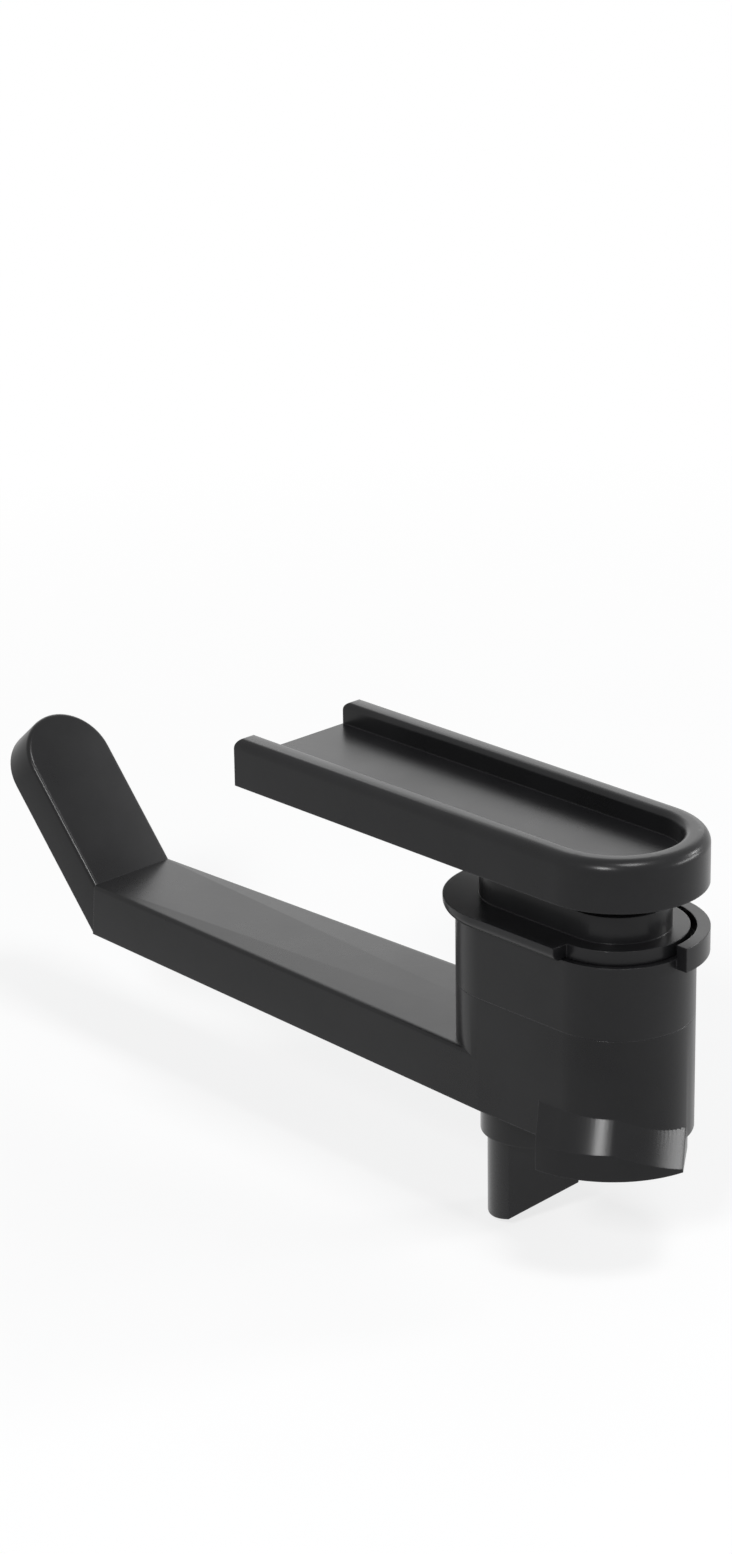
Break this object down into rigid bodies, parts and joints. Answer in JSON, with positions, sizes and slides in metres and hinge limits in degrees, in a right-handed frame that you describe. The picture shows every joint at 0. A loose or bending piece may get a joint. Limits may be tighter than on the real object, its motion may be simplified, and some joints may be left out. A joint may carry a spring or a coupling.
{
  "type": "hatch handle",
  "caption": "Flush hatch handle: open-ended tray grip and long inner lever with claw on one square spindle, turning in a flanged base, with a spring-loaded turning lock.",
  "frame": {"origin": "where the spindle axis meets the inner face of the lid, which is the flange's upper face", "axes": "+Z outwards along the spindle axis; -X along the outer handle and the inner lever; the lock axis is at x = -20 mm"},
  "size_m": [0.1752, 0.0345, 0.0789],
  "materials": {
    "handle_coating": "satin",
    "base_coating": "satin",
    "lock_coating": "gloss",
    "spring_steel": "satin",
    "screw_steel": "satin"
  },
  "bodies": {
    "base": {"base_flange": "base_coating"},
    "handle": {"outer_handle": "handle_coating", "spacer_block": "base_coating", "inner_lever": "handle_coating", "spindle_washer": "screw_steel", "spindle_screw": "screw_steel"},
    "lock_carrier": {"lock_spring": "spring_steel"},
    "lock": {"lock_cap": "lock_coating", "lock_plunger": "lock_coating", "lock_screw": "screw_steel"}
  },
  "joints": [
    {"name": "handle_turn", "type": "hinge", "parent": "base", "child": "handle", "pos_m": [0, 0, 0], "axis": [0, 0, -1], "range_deg": [0, 90]},
    {"name": "lock_lift", "type": "slide", "parent": "handle", "child": "lock_carrier", "axis": [0, 0, 1], "range_m": [0, 0.0039], "stiffness_N_per_m": 1200, "springref_m": -0.004, "deforming": ["lock_spring"]},
    {"name": "lock_turn", "type": "hinge", "parent": "lock_carrier", "child": "lock", "pos_m": [-0.02, 0, 0], "axis": [0, 0, 1], "range_deg": [0, 60]}
  ],
  "couplings": [
    {"joint": "lock_turn", "follows": "lock_lift", "rad_per_m": 268.51}
  ]
}
